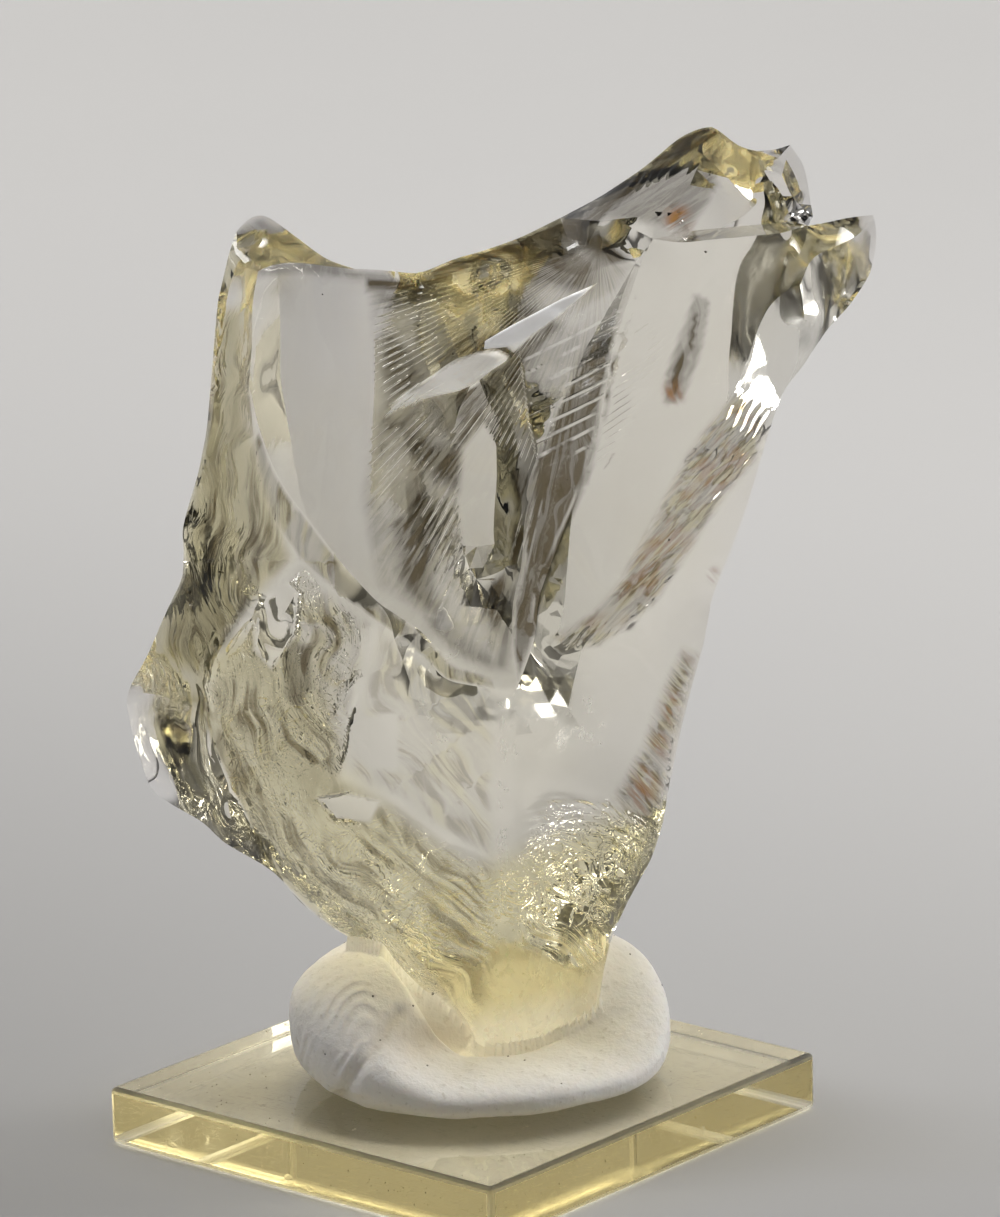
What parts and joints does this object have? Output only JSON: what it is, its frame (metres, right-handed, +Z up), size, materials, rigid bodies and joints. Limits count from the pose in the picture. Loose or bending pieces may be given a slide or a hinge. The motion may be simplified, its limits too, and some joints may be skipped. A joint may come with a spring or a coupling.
{
  "type": "andara glass specimen on a stand",
  "caption": "Broken shard of clear straw-yellow glass, stood on its tip in a lump of white mounting putty on a square acrylic plate, for display.",
  "frame": {"origin": "centre of the plate's underside", "axes": "+Z up, the plate's edges along X and Y"},
  "size_m": [0.0297, 0.0309, 0.0498],
  "materials": {
    "straw_glass": "clear, pale straw yellow, freshly broken faces with ripples",
    "white_putty": "matte off-white, pressed by hand",
    "clear_acrylic": "polished clear cast sheet, faintly yellow"
  },
  "bodies": {
    "root": {"andara_glass_shard": "straw_glass", "mounting_putty": "white_putty", "acrylic_plate": "clear_acrylic"}
  },
  "joints": []
}
